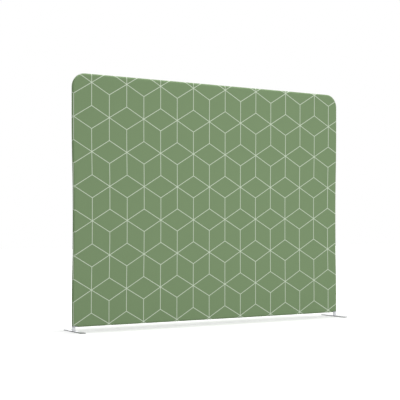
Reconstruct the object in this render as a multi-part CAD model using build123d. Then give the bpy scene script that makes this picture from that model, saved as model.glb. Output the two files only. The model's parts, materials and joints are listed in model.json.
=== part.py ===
"""A straight fabric room divider: a tube frame in a printed stretch cover, standing on two flat feet.

X runs along the wall, Y through it with the front towards -Y, and Z up. The origin is on the floor,
midway between the feet. The left half is built, and the right half is its mirror image.
"""

import os

from build123d import *

# Whole wall, measured over the cloth
overall_width = 3000.0
overall_height = 2300.0
hem_height = 40.0  # floor to the underside of the cover

# Frame tubes
tube_diameter = 32.0
tube_wall = 1.5
corner_radius = 110.0  # centreline radius of the top corners
corner_leg_down = 200.0
corner_leg_across = 500.0
pole_bow = 10.0  # how far the tight cloth pulls each upright in at half height
pole_diameter = 28.0  # centre pole, thinner so that the zip's slider passes behind it

# Cover
cloth = 0.5
cover_clearance = 0.3
opening_reach = 33.0  # from the upright's axis to where the hem starts
opening_rise = 12.0  # how much higher the cloth ends beside the upright
binding_width = 6.0

# Spigots and couplers that hold two tubes together
spigot_clearance = 0.3
spigot_wall = 1.5
spigot_length = 60.0
fixing_distance = 30.0  # from the joint to the button on one side and the rivet on the other
tee_reach = 35.0  # from a tee's centre to the end of its barrel

# Spring buttons
button_diameter = 8.0
button_clearance = 0.1
tube_hole_clearance = 0.2  # round a button in its tube, wider than in the spigot
button_flange = 11.0
button_flange_thickness = 1.0
button_proud = 1.5  # how far a button stands out of its tube
button_edge = 1.0
button_flange_gap = 0.4  # from the flange's rim to the spigot's inside
leaf_thickness = 0.4
leaf_width = 7.0
leaf_length = 24.0
leaf_pad = 6.0
leaf_gap = 0.1

# Rivets
rivet_diameter = 4.0
rivet_head = 8.0
rivet_head_thickness = 1.0
rivet_head_round = 0.6
rivet_tail = 6.0
rivet_tail_gap = 0.1
rivet_tail_thickness = 1.2
rivet_clearance = 0.05

# Feet
foot_length = 370.0
foot_width = 50.0
foot_thickness = 6.0
foot_corner = 6.0
foot_edge = 0.8
running_gap = 0.3
swivel_clearance = 0.05
post_end_gap = 3.0  # from the plate to the end of the tee's post
tee_rise = 43.2  # from the bottom rail's axis to the top of the foot tee's barrel
tee_core = 3.2  # solid metal over the rail's bore in the foot tee
screw_diameter = 8.0
screw_head = 15.4
screw_recess = 0.5
screw_length = 30.0
screw_socket = 5.0
screw_socket_depth = 2.5
screw_clearance = 0.3
screw_head_clearance = 0.45  # round the countersunk head, measured level
screw_thread_gap = 0.05

# Zip along the back of the cover, just above the bottom rail
zip_rise = 33.2  # from the bottom rail's axis to the middle of the zip
zip_tape = 10.0
zip_gap = 1.4
chain_width = 2.2
chain_thickness = 1.6
chain_round = 0.7
chain_end_gap = 10.0  # from the end of the tapes to the end of the chain
stop_length = 3.0
slider_length = 12.0
slider_wing = 1.0
slider_cheek = 1.2
slider_neck = 0.8
slider_neck_length = 3.0
slider_clearance = 0.3
slider_round = 0.8
bail_radius = 0.8
bail_inset = 2.0
pull_clearance = 0.1
pull_wall = 1.1
pull_eye_width = 4.0
pull_width = 5.5
pull_length = 24.0
pull_thickness = 1.2
pull_round = 2.2

# Worked out from the sizes above
tube_radius = tube_diameter / 2
cover_inside = tube_radius + cover_clearance
cover_outside = cover_inside + cloth
pole_x = overall_width / 2 - cover_outside
top_z = overall_height - cover_outside
rail_z = hem_height + cover_outside
stub_top = hem_height
tee_top = rail_z + tee_rise
corner_start_z = top_z - corner_radius
corner_foot_z = corner_start_z - corner_leg_down
corner_end_x = pole_x - corner_radius - corner_leg_across
screw_head_height = (screw_head - screw_diameter) / 2
middle_z = (tee_top + corner_foot_z) / 2
hem_end_x = pole_x - opening_reach
opening_z = hem_height + opening_rise
binding_top = opening_z + binding_width
zip_height = rail_z + zip_rise
zip_low = zip_height - zip_tape
zip_high = zip_height + zip_tape
chain_end_x = hem_end_x - chain_end_gap
centre_pole_middle_z = (rail_z + top_z) / 2
button_travel = button_proud + tube_wall + spigot_clearance / 2


class Tubing:
    """One size of tube: its own radii, and those of the spigots, buttons and rivets that fit in it."""

    def __init__(self, diameter):
        self.radius = diameter / 2
        self.bore = self.radius - tube_wall
        self.spigot_radius = self.bore - spigot_clearance
        self.spigot_bore = self.spigot_radius - spigot_wall
        self.button_seat = self.depth_across(button_flange) - button_flange_gap
        self.rivet_seat = self.depth_across(rivet_tail) - rivet_tail_gap

    def depth_across(self, width):
        """How far from the axis a flat of this width touches the spigot's inside."""
        return (self.spigot_bore**2 - (width / 2) ** 2) ** 0.5


frame_tubing = Tubing(tube_diameter)
pole_tubing = Tubing(pole_diameter)
post_radius = frame_tubing.bore - swivel_clearance


def rod(place, radius, start, end):
    """A solid cylinder along a plane's normal, from one height above the plane to another."""
    return extrude(place.offset(start) * Circle(radius), end - start)


def pipe(place, outside, inside, start, end):
    """A straight tube along a plane's normal."""
    return extrude(place.offset(start) * (Circle(outside) - Circle(inside)), end - start)


def straight_tube(place, tubing, length):
    return pipe(place, tubing.radius, tubing.bore, 0, length)


def block(x, y, z):
    """A box between two limits along each axis."""
    sides = [max(pair) - min(pair) for pair in (x, y, z)]
    middle = [sum(pair) / 2 for pair in (x, y, z)]
    return Pos(*middle) * Box(*sides)


def along(edges, section):
    """A flat section carried along tangent edges. Its x points to the wall's back and its y outwards."""
    swept = []
    for edge in edges:
        start = Plane(origin=edge @ 0, x_dir=(0, 1, 0), z_dir=edge % 0)
        swept.append(sweep(start * section, path=edge))
    return sum(swept[1:], swept[0])


def flipped(shape):
    """The mirror image on the right side of the wall."""
    return mirror(shape, about=Plane.YZ)


# Centreline of the left upright, its bend and the top rail, each from the bottom up
def bowed(start, end):
    """The line of a bowed tube on the wall's middle plane: straight over the spigot at each end, and
    between them two arcs that lean over and back."""
    first, last = (start[0], start[1] + spigot_length), (end[0], end[1] - spigot_length)
    halfway = ((start[0] + end[0]) / 2, (start[1] + end[1]) / 2)
    lean = TangentArc(first, halfway, tangent=(0, 1))
    back = TangentArc(halfway, last, tangent=lean % 1)
    return [Plane.XZ * run for run in (Line(start, first), lean, back, Line(last, end))]


middle = (-pole_x + pole_bow, middle_z)
lower_line = bowed((-pole_x, tee_top), middle)
upper_line = bowed(middle, (-pole_x, corner_foot_z))
bend_end = (-pole_x + corner_radius, top_z)
corner_line = [
    Plane.XZ * Line((-pole_x, corner_foot_z), (-pole_x, corner_start_z)),
    Plane.XZ * TangentArc((-pole_x, corner_start_z), bend_end, tangent=(0, 1)),
    Plane.XZ * Line(bend_end, (-corner_end_x, top_z)),
]
stub_line = Plane.XZ * Line((-pole_x, opening_z), (-pole_x, tee_top))
top_line = Plane.XZ * Line((-corner_end_x, top_z), (0, top_z))
cover_line = [stub_line, *lower_line, *upper_line, *corner_line, top_line]


# Every place where a tube slips over a spigot: the joint's centre, the way the spigot points, and the
# way its button faces, which is always into the hollow between the two cloth faces
def joint(x, z, points, faces):
    return Plane(origin=(x, 0, z), x_dir=faces, z_dir=points)


up, down, inward, outward = (0, 0, 1), (0, 0, -1), (1, 0, 0), (-1, 0, 0)
side_joints = {
    "upright": joint(-pole_x, tee_top, up, inward),
    "rail": joint(-pole_x + tee_reach, rail_z, inward, up),
    "middle": joint(-pole_x + pole_bow, middle_z, up, inward),
    "corner": joint(-pole_x, corner_foot_z, up, inward),
    "top": joint(-corner_end_x, top_z, inward, down),
    "rail_centre": joint(-tee_reach, rail_z, outward, up),
    "top_centre": joint(-tee_reach, top_z, outward, down),
}
pole_joints = {
    "pole_foot": joint(0, rail_z + tee_reach, up, inward),
    "pole_middle": joint(0, centre_pole_middle_z, up, inward),
    "pole_head": joint(0, top_z - tee_reach, down, inward),
}
coupled = ("middle", "corner", "top", "pole_middle")


def fixing(place, distance):
    """The plane on the tube's axis under a button or rivet, looking out through the tube's wall."""
    return Plane(origin=place.origin + place.z_dir * distance, x_dir=place.z_dir, z_dir=place.x_dir)


def fixing_hole(place, distance, diameter, clearance):
    """The tool that drills one wall for a button or rivet."""
    return rod(fixing(place, distance), diameter / 2 + clearance, 0, tube_diameter)


def drilled(tube, holds=(), receives=()):
    """A tube with its holes: a rivet where it holds a coupler, a button where it receives a spigot."""
    for place in holds:
        tube -= fixing_hole(place, -fixing_distance, rivet_diameter, rivet_clearance)
    for place in receives:
        tube -= fixing_hole(place, fixing_distance, button_diameter, tube_hole_clearance)
    return tube


def spigot(place, tubing):
    """The hollow stub that a tube slips over."""
    stub = pipe(place, tubing.spigot_radius, tubing.spigot_bore, 0, spigot_length)
    return stub - fixing_hole(place, fixing_distance, button_diameter, button_clearance)


def coupler(place, tubing):
    """A loose sleeve inside two tubes, riveted to the first."""
    sleeve = pipe(place, tubing.spigot_radius, tubing.spigot_bore, -spigot_length, spigot_length)
    sleeve -= fixing_hole(place, fixing_distance, button_diameter, button_clearance)
    return sleeve - fixing_hole(place, -fixing_distance, rivet_diameter, rivet_clearance)


def button(place, tubing):
    """A spring button with its flange inside the spigot's wall."""
    at = fixing(place, fixing_distance)
    seat = tubing.button_seat
    head = rod(at, button_diameter / 2, seat, tubing.radius + button_proud)
    rim = head.edges().filter_by(GeomType.CIRCLE).sort_by(Axis(at.origin, at.z_dir))[-1]
    flange = rod(at, button_flange / 2, seat - button_flange_thickness, seat)
    return fillet(rim, button_edge) + flange


def leaf_spring(place, tubing):
    """A folded leaf that pushes the button out from the far wall of the spigot."""
    at = fixing(place, fixing_distance)
    half = leaf_width / 2
    top = tubing.button_seat - button_flange_thickness - leaf_gap - leaf_thickness / 2
    foot = -tubing.depth_across(leaf_width) + leaf_gap + leaf_thickness / 2
    line = Polyline(
        (-leaf_pad, top), (leaf_pad, top), (leaf_length, 0), (leaf_pad, foot), (-leaf_pad, foot)
    )
    side = Plane(origin=at.origin, x_dir=at.x_dir, z_dir=at.y_dir * -1)
    return extrude(side * trace(line, leaf_thickness), half, both=True)


def rivet(place, tubing):
    """A closed rivet through one wall of the tube and the coupler in it."""
    at = fixing(place, -fixing_distance)
    seat = tubing.radius + rivet_clearance
    head = rod(at, rivet_head / 2, seat, seat + rivet_head_thickness)
    rim = head.edges().filter_by(GeomType.CIRCLE).sort_by(Axis(at.origin, at.z_dir))[-1]
    shank = rod(at, rivet_diameter / 2, tubing.rivet_seat, seat)
    tail = rod(at, rivet_tail / 2, tubing.rivet_seat - rivet_tail_thickness, tubing.rivet_seat)
    return fillet(rim, rivet_head_round) + shank + tail


def bent_tube(edges, tubing):
    return along(edges, Circle(tubing.radius) - Circle(tubing.bore))


def side_tubes():
    """The tubes of one side, from the foot to the middle of the top and bottom rails."""
    at, tubing = side_joints, frame_tubing
    top_tube = straight_tube(at["top"], tubing, corner_end_x - tee_reach)
    bottom_tube = straight_tube(at["rail"], tubing, pole_x - 2 * tee_reach)
    return {
        "lower_upright": drilled(bent_tube(lower_line, tubing), [at["middle"]], [at["upright"]]),
        "upper_upright": drilled(bent_tube(upper_line, tubing), [at["corner"]], [at["middle"]]),
        "corner_bend": drilled(bent_tube(corner_line, tubing), [at["top"]], [at["corner"]]),
        "top_tube": drilled(top_tube, [], [at["top"], at["top_centre"]]),
        "bottom_tube": drilled(bottom_tube, [], [at["rail"], at["rail_centre"]]),
    }


def centre_pole():
    """The two straight tubes that hold the rails apart at the middle of the wall."""
    at, half_length = pole_joints, (top_z - rail_z) / 2 - tee_reach
    lower = straight_tube(at["pole_foot"], pole_tubing, half_length)
    upper = straight_tube(at["pole_head"], pole_tubing, half_length)
    return {
        "centre_pole_lower": drilled(lower, [at["pole_middle"]], [at["pole_foot"]]),
        "centre_pole_upper": drilled(upper, [], [at["pole_middle"], at["pole_head"]]),
    }


def centre_tee(z, branch, left_joint, pole_joint):
    """The cast tee in the middle of a rail, with a spigot for each of its three tubes."""
    across = Plane(origin=(0, 0, z), x_dir=Vector(branch) * -1, z_dir=(1, 0, 0))
    upright = Plane(origin=(0, 0, z), x_dir=(1, 0, 0), z_dir=branch)
    body = rod(across, tube_radius, -tee_reach, tee_reach)
    body += rod(upright, pole_tubing.radius, 0, tee_reach)
    for start, end in ((-tee_reach, -tube_radius), (tube_radius, tee_reach)):
        body -= rod(across, frame_tubing.spigot_bore, start, end)
    body -= rod(upright, pole_tubing.spigot_bore, tube_radius, tee_reach)
    left_spigot = spigot(left_joint, frame_tubing)
    return body + left_spigot + flipped(left_spigot) + spigot(pole_joint, pole_tubing)


def foot_tee():
    """The cast tee above the foot, with its turning post below and a threaded hole for the screw."""
    axis = Plane(origin=(-pole_x, 0, 0), x_dir=(1, 0, 0), z_dir=up)
    branch = Plane(origin=(-pole_x, 0, rail_z), x_dir=(0, 1, 0), z_dir=inward)
    body = rod(axis, tube_radius, stub_top + running_gap, tee_top) + rod(branch, tube_radius, 0, tee_reach)
    body += rod(axis, post_radius, foot_thickness + post_end_gap, stub_top + running_gap)
    body -= rod(axis, frame_tubing.spigot_bore, rail_z + tube_radius + tee_core, tee_top)
    body -= rod(branch, frame_tubing.spigot_bore, tube_radius, tee_reach)
    body -= rod(axis, screw_diameter / 2, 0, screw_recess + screw_length + running_gap)
    for name in ("upright", "rail"):
        body += spigot(side_joints[name], frame_tubing)
    return body


def foot():
    """The flat foot with its welded stub, which turns about the upright on the tee's post."""
    outer_x = -pole_x - tube_radius
    centre = Pos(outer_x + foot_width / 2, 0, foot_thickness / 2)
    plate = centre * Box(foot_width, foot_length, foot_thickness)
    plate = fillet(plate.edges().filter_by(Axis.Z), foot_corner)
    plate = chamfer(plate.faces().sort_by(Axis.Z)[-1].edges(), foot_edge)
    axis = Plane(origin=(-pole_x, 0, 0), x_dir=(1, 0, 0), z_dir=up)
    stub = pipe(axis, tube_radius, frame_tubing.bore, foot_thickness, stub_top)
    hole_radius = screw_diameter / 2 + screw_clearance
    hole = rod(axis, hole_radius, 0, foot_thickness)
    sink_radius = screw_head / 2 + screw_recess + screw_head_clearance
    sink_depth = sink_radius - hole_radius
    sink = Pos(-pole_x, 0, sink_depth / 2) * Cone(sink_radius, hole_radius, sink_depth)
    return plate + stub - hole - sink


def foot_screw():
    """The countersunk screw that holds the foot to the tee."""
    axis = Plane(origin=(-pole_x, 0, screw_recess), x_dir=(1, 0, 0), z_dir=up)
    middle_of_head = Pos(-pole_x, 0, screw_recess + screw_head_height / 2)
    head = middle_of_head * Cone(screw_head / 2, screw_diameter / 2, screw_head_height)
    shank = rod(axis, screw_diameter / 2 - screw_thread_gap, screw_head_height, screw_length)
    socket = extrude(axis * RegularPolygon(screw_socket / 2, 6, major_radius=False), screw_socket_depth)
    return head + shank - socket


def sheet(outline):
    """A flat cloth face in front of the tubes, inside an outline drawn on the wall's middle plane."""
    return extrude(outline.moved(Pos(0, -cover_inside, 0)), cloth, dir=(0, -1, 0))


def half_outline(bottom):
    """The left half of a cloth face: the centreline of the frame, closed by the bottom points."""
    corners = [(0, top_z), *bottom, (-pole_x, opening_z)]
    edges = [Plane.XZ * Line(first, last) for first, last in zip(corners, corners[1:])]
    return make_face([*cover_line, *edges])


def edge_wrap():
    """The cloth that turns from the front face round the tubes to the seam at the edge of the wall."""
    ring = Circle(cover_outside) - Circle(cover_inside)
    quarter = Rectangle(tube_diameter, tube_diameter, align=(Align.MAX, Align.MIN))
    return along(cover_line, ring & quarter)


def whole(half):
    return half + flipped(half)


def cover():
    """The two cloth panels, the bindings of the openings for the uprights, and the zip's tapes."""
    back_of_cloth = (cover_inside, cover_outside)
    hem_step = [(0, rail_z), (-hem_end_x, rail_z), (-hem_end_x, opening_z)]
    zip_step = [(0, zip_high), (-hem_end_x, zip_high), (-hem_end_x, opening_z)]
    lower_half = Rectangle(2 * tube_diameter, tube_diameter, align=(Align.CENTER, Align.MAX))
    hem_ring = (Circle(cover_outside) - Circle(cover_inside)) & lower_half
    hem_start = Plane(origin=(-hem_end_x, 0, rail_z), x_dir=(0, 1, 0), z_dir=(1, 0, 0))
    hem = extrude(hem_start * hem_ring, hem_end_x)
    flap = block((-hem_end_x, 0), back_of_cloth, (rail_z, zip_low))
    wrap = edge_wrap()
    front = sheet(half_outline(hem_step)) + wrap + hem + flap
    back = mirror(sheet(half_outline(zip_step)) + wrap, about=Plane.XZ)
    reach = (-tube_diameter, tube_diameter)
    bound = block((-pole_x - tube_diameter, -hem_end_x), reach, (opening_z, binding_top))
    bound += block((-hem_end_x, -hem_end_x + binding_width), reach, (0, binding_top))
    binding = (front + back) & bound
    across = (-hem_end_x, hem_end_x)
    lower_tape = block(across, back_of_cloth, (zip_low, zip_height - zip_gap / 2))
    upper_tape = block(across, back_of_cloth, (zip_height + zip_gap / 2, zip_high))
    return {
        "front_panel": whole(front - bound),
        "back_panel": whole(back - bound),
        "left_opening_binding": binding,
        "right_opening_binding": flipped(binding),
        "lower_zip_tape": lower_tape,
        "upper_zip_tape": upper_tape,
    }


def zip_chain(side):
    """One row of zip teeth, as a rounded bead on the tape's edge. The side is -1 below and 1 above."""
    near = zip_height + side * zip_gap / 2
    depth = (cover_outside, cover_outside + chain_thickness)
    bead = block((-chain_end_x, chain_end_x), depth, (near, near + side * chain_width))
    long_edges = bead.edges().filter_by(Axis.X).group_by(Axis.Y)[-1]
    return fillet(long_edges, chain_round)


def end_stops():
    """The four small clamps that close the ends of the two rows of teeth."""
    stops = []
    for side in (-1, 1):
        near = zip_height + side * zip_gap / 2
        limits = (near, near + side * chain_width)
        depth = (cover_outside, cover_outside + chain_thickness)
        for start in (-chain_end_x - stop_length, chain_end_x):
            stops.append(block((start, start + stop_length), depth, limits))
    return stops


slider_x = -chain_end_x
inner_wing = (cover_inside - slider_clearance - slider_wing, cover_inside - slider_clearance)
wing_base = cover_outside + chain_thickness + slider_clearance
outer_wing = (wing_base, wing_base + slider_wing)
cheek_inside = zip_gap / 2 + chain_width + slider_clearance
bail_y = outer_wing[1] + bail_radius + pull_clearance + pull_wall + slider_clearance


def zip_slider():
    """The slider at the closed end of the zip: two wings joined by a neck, and a bail for the pull."""
    length = (slider_x, slider_x + slider_length)
    half = cheek_inside + slider_cheek
    width = (zip_height - half, zip_height + half)
    outer = fillet(block(length, outer_wing, width).edges().filter_by(Axis.Y), slider_round)
    inner = fillet(block(length, inner_wing, width).edges().filter_by(Axis.Y), slider_round)
    neck_width = (zip_height - slider_neck / 2, zip_height + slider_neck / 2)
    neck = block((slider_x, slider_x + slider_neck_length), (inner_wing[0], outer_wing[0]), neck_width)
    body = outer + inner + neck
    inset = (slider_x + slider_round, slider_x + slider_length - slider_round)
    cheek_depth = (cover_outside + slider_clearance, outer_wing[0])
    for side in (-1, 1):
        cheek = (zip_height + side * cheek_inside, zip_height + side * half)
        body += block(inset, cheek_depth, cheek)
    first, last = slider_x + bail_inset, slider_x + slider_length - bail_inset
    bail = Plane(origin=(first, bail_y, zip_height), x_dir=(0, 1, 0), z_dir=(1, 0, 0))
    body += rod(bail, bail_radius, -bail_radius, last - first + bail_radius)
    for x in (first, last):
        leg = Plane(origin=(x, 0, zip_height), x_dir=(1, 0, 0), z_dir=(0, 1, 0))
        body += rod(leg, bail_radius, outer_wing[0], bail_y)
    return body


def zip_pull():
    """The pull, which hangs from the slider's bail by its eye."""
    middle_x = slider_x + slider_length / 2
    eye_bore = bail_radius + pull_clearance
    eye_radius = eye_bore + pull_wall
    axis = Plane(origin=(middle_x, bail_y, zip_height), x_dir=(0, 1, 0), z_dir=(1, 0, 0))
    eye = rod(axis, eye_radius, -pull_eye_width / 2, pull_eye_width / 2)
    tab_top = zip_height - eye_bore
    half = pull_width / 2
    depth = (bail_y - pull_thickness / 2, bail_y + pull_thickness / 2)
    tab = block((middle_x - half, middle_x + half), depth, (tab_top - pull_length, tab_top - pull_wall))
    tab = fillet(tab.edges().filter_by(Axis.Y).group_by(Axis.Z)[0], pull_round)
    neck = block((middle_x - pull_eye_width / 2, middle_x + pull_eye_width / 2), depth,
                 (tab_top - pull_wall, tab_top))
    return eye + neck + tab - rod(axis, eye_bore, -pull_width, pull_width)


nodes = {}
left_only = {
    **side_tubes(),
    "foot_tee": foot_tee(),
    "foot": foot(),
}
for name, place in side_joints.items():
    left_only[f"{name}_button"] = button(place, frame_tubing)
    if name in coupled:
        left_only[f"{name}_coupler"] = coupler(place, frame_tubing)
for name, shape in left_only.items():
    nodes[f"left_{name}"] = shape
    nodes[f"right_{name}"] = flipped(shape)

nodes.update(centre_pole())
nodes["bottom_centre_tee"] = centre_tee(rail_z, up, side_joints["rail_centre"], pole_joints["pole_foot"])
nodes["top_centre_tee"] = centre_tee(top_z, down, side_joints["top_centre"], pole_joints["pole_head"])
nodes["pole_middle_coupler"] = coupler(pole_joints["pole_middle"], pole_tubing)
for name, place in pole_joints.items():
    nodes[f"{name}_button"] = button(place, pole_tubing)

side_springs = [leaf_spring(place, frame_tubing) for place in side_joints.values()]
side_rivets = [rivet(place, frame_tubing) for name, place in side_joints.items() if name in coupled]
groups = {
    "button_leaf_springs": side_springs
    + [flipped(spring) for spring in side_springs]
    + [leaf_spring(place, pole_tubing) for place in pole_joints.values()],
    "coupler_rivets": side_rivets
    + [flipped(shape) for shape in side_rivets]
    + [rivet(pole_joints["pole_middle"], pole_tubing)],
    "foot_screws": [foot_screw(), flipped(foot_screw())],
    "zip_end_stops": end_stops(),
}
for name, shapes in groups.items():
    nodes[name] = Compound([solid for shape in shapes for solid in shape.solids()])

nodes.update(cover())
nodes["lower_zip_chain"] = zip_chain(-1)
nodes["upper_zip_chain"] = zip_chain(1)
nodes["zip_slider"] = zip_slider()
nodes["zip_pull"] = zip_pull()

os.makedirs("parts", exist_ok=True)
for name, shape in nodes.items():
    export_step(shape, f"parts/{name}.step")
print(len(nodes), "nodes")
print("zip travel", 2 * chain_end_x - slider_length, "button travel", button_travel)
print("upright axis at", pole_x, "bail", bail_y, zip_height, "slider from", slider_x)
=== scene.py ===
"""Dresses the fabric room divider: the printed stretch cover, its bindings and zip, the finish of the tube
frame and the feet, and a plain studio round it. Sizes are in metres."""

import json
import math

import bpy
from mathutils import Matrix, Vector


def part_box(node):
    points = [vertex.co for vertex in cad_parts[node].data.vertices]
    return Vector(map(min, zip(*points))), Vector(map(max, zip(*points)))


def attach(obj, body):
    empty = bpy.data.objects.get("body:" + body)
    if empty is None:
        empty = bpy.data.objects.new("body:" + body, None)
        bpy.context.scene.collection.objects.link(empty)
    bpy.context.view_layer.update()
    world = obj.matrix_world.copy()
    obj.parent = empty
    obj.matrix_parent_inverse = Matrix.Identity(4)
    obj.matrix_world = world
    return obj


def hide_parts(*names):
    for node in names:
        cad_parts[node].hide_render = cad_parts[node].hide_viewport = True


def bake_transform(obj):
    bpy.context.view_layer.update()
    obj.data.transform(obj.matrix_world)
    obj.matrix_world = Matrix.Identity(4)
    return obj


bl_info = {
    "name": "Fabric room divider",
    "version": (1, 0, 0),
    "blender": (4, 5, 0),
    "location": "View3D > Sidebar > Divider",
    "description": "Builds the cover, zip and finishes of a fabric room divider on its tube frame",
    "category": "Object",
}

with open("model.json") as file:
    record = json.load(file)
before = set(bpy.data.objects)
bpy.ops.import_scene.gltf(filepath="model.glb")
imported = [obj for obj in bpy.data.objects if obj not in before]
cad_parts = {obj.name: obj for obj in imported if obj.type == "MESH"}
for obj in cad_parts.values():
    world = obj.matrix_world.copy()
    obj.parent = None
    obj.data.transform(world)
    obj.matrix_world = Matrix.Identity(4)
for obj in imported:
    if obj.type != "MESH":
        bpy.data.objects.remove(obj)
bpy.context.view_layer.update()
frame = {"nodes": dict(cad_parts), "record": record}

# Sizes that the frame doesn't give by itself
mm = 0.001
opening_rise = 12 * mm  # from the cover's lowest line to the cloth's cut edge round each upright
zip_lap = 2.5 * mm  # how far the cloth's folded edges reach over the zip's tapes
lap_lift = 0.5 * mm  # how far the tape and the fold raise those edges
tucked_tape = 2 * mm  # how far the tapes reach on under the cloth
post_end_gap = 3 * mm  # from each foot's plate up to the end of the post on its tee

# Read from the frame: the cover's outside, the tubes' lines and the zip's place
cover_low, cover_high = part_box("front_panel")
upright_low, upright_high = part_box("left_lower_upright")
sleeve_low, sleeve_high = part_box("left_middle_coupler")
tape_low, tape_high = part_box("lower_zip_tape")
cover_radius = cover_high.y
tube_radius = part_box("left_top_tube")[1].y
upright_x = cover_high.x - cover_radius
top_z = cover_high.z - cover_radius
rail_z = cover_low.z + cover_radius
opening_z = cover_low.z + opening_rise
tee_top_z = upright_low.z
middle_z = upright_high.z
bend_foot_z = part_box("left_corner_bend")[0].z
sleeve_half = (sleeve_high.z - sleeve_low.z) / 2
bow = upright_high.x + upright_x - tube_radius
hem_end_x = tape_high.x
zip_low_z = tape_low.z
zip_high_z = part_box("upper_zip_tape")[1].z
cloth_thickness = cover_radius - tape_low.y
plate_top_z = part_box("left_foot_tee")[0].z - post_end_gap


def linear(*shades):
    """A colour given in 0 to 255 as a screen shows it, turned into the shader's linear values."""
    parts = [shade / 255 for shade in shades]
    return tuple(p / 12.92 if p <= 0.04045 else ((p + 0.055) / 1.055) ** 2.4 for p in parts)


def size_value(name, description, default, unit="LENGTH"):
    return bpy.props.FloatProperty(
        name=name, description=description, default=default, unit=unit, precision=5
    )


def plain_value(name, description, default):
    return bpy.props.FloatProperty(name=name, description=description, default=default, precision=5)


def power_value(name, description, default):
    return bpy.props.FloatProperty(name=name, description=description, default=default, unit="POWER")


def colour_value(name, description, default):
    return bpy.props.FloatVectorProperty(
        name=name, description=description, default=default, subtype="COLOR", size=3, min=0, max=1
    )


class DividerCover(bpy.types.PropertyGroup):
    """Sizes of the cover and of the print on it."""

    bend_radius: size_value("Bend radius", "Radius of the top corners along the tube's middle", 0.11)
    grid_step: size_value("Grid step", "Distance between the lines of the cloth's mesh", 0.025)
    pucker: size_value("Pucker", "Height of the gathers along the hem", 0.55 * mm)
    corner_pull: size_value("Corner pull", "Height of the tension folds at the corners", 0.75 * mm)
    seam_lift: size_value("Seam lift", "How far the seam allowance lifts the cloth", 0.4 * mm)
    binding_width: size_value("Binding width", "Width of the tape round each opening", 6 * mm)
    tape_thickness: size_value("Tape thickness", "Thickness of the binding tape", 0.25 * mm)
    columns_per_metre: plain_value("Columns per metre", "Upright lines of the print in a metre", 5.6198)
    rows_per_metre: plain_value("Rows per metre", "Cube edges of the print in a metre of height", 4.7910)
    column_at_middle: plain_value("Column at the middle", "Column of the print at the wall's middle", 7.4110)
    row_at_floor: plain_value("Row at the floor", "Row of the print at the floor under the middle", 10.7974)
    print_slope: plain_value("Print slope", "Rows that the print sinks over a metre to the right", 0.1116)
    print_lean: plain_value("Print lean", "Columns that the print leans over a metre of height", -0.0106)
    print_growth: plain_value("Print growth", "How much the cubes grow over a metre to the right", 0.00866)
    line_width: size_value("Line width", "Width of the printed lines", 6 * mm)


class DividerColours(bpy.types.PropertyGroup):
    """Colours of the finishes."""

    ground: colour_value("Ground", "Green of the print between the lines", linear(127, 151, 111))
    line: colour_value("Lines", "Pale lines of the print", linear(208, 220, 200))
    lining: colour_value("Inside", "Unprinted inside of the cloth", linear(226, 227, 222))
    tape: colour_value("Tape", "Bindings and zip tapes", linear(112, 133, 99))
    teeth: colour_value("Teeth", "Coil of the zip", linear(92, 108, 84))
    aluminium: colour_value("Aluminium", "Tubes and sleeves", linear(192, 193, 196))
    casting: colour_value("Casting", "Cast tees", linear(172, 174, 176))
    steel: colour_value("Steel", "Feet", linear(200, 201, 204))
    # Colour of the plates' upright faces: a darker cut edge with painted shade in it.
    cut_edge_and_shade: colour_value("Cut edge", "Cut edges of the feet's plates", linear(62, 63, 66))
    dark_steel: colour_value("Dark steel", "Springs and screws", linear(118, 120, 124))
    enamel: colour_value("Enamel", "Zip slider, pull and stops", linear(78, 84, 80))


class DividerStudio(bpy.types.PropertyGroup):
    """The camera and the light."""

    camera_x: size_value("Camera X", "Camera's place along the wall", -5.1501)
    camera_y: size_value("Camera Y", "Camera's place in front of the wall", -8.0845)
    camera_z: size_value("Camera height", "Height of the camera", 0.9317)
    camera_turn: size_value(
        "Camera turn", "Angle between the view and the wall's normal", math.radians(31.652), "ROTATION"
    )
    lens: bpy.props.FloatProperty(
        name="Lens", description="Focal length in millimetres", default=89.394, unit="CAMERA"
    )
    shift: plain_value("Shift", "Upward shift of the view", 0.0669)
    ambient: plain_value("Ambient", "Strength of the even light from all round", 0.8)
    ambient_turn: plain_value("Ambient turn", "How much weaker that light is from the left", 0.75)
    strip_power: power_value("Strip power", "Power of the strip light above the wall", 150.0)
    key_power: power_value("Key power", "Power of the soft light in front of the wall", 125.0)
    back_power: power_value("Back power", "Power of the soft light behind the wall", 70.0)
    # Glow of the floor near the wall: kept low there, it paints the floor darker round the real shadow.
    floor_lift: plain_value("Floor lift", "How far the floor under the wall is lifted to white", 0.12)
    white_reach: size_value("White reach", "Distance from the wall at which the floor is white", 0.62)


# Small helpers for meshes


def deselect_all():
    if bpy.context.object and bpy.context.object.mode != "OBJECT":
        bpy.ops.object.mode_set(mode="OBJECT")
    bpy.ops.object.select_all(action="DESELECT")


def pick(piece):
    """Makes one object the selected, active one."""
    deselect_all()
    piece.select_set(True)
    bpy.context.view_layer.objects.active = piece


def open_in_edit(piece):
    """Opens one object in edit mode, with all of its mesh selected."""
    pick(piece)
    bpy.ops.object.mode_set(mode="EDIT")
    bpy.ops.mesh.select_all(action="SELECT")


def close_edit():
    bpy.ops.object.mode_set(mode="OBJECT")


def cut(place, normal, **settings):
    """Cuts the whole mesh that is open in edit mode along a plane."""
    bpy.ops.mesh.select_all(action="SELECT")
    bpy.ops.mesh.bisect(plane_co=place, plane_no=normal, **settings)


def new_primitive(name):
    """Names the primitive that was just added."""
    piece = bpy.context.object
    piece.name = name
    piece.data.name = name
    return piece


def apply_place(piece):
    pick(piece)
    bpy.ops.object.transform_apply(location=True, rotation=True, scale=True)


def add_modifier(piece, kind, **settings):
    """Adds a modifier, sets it and applies it."""
    pick(piece)
    modifier = piece.modifiers.new(kind.lower(), kind)
    for name, value in settings.items():
        setattr(modifier, name, value)
    bpy.ops.object.modifier_apply(modifier=modifier.name)


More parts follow.
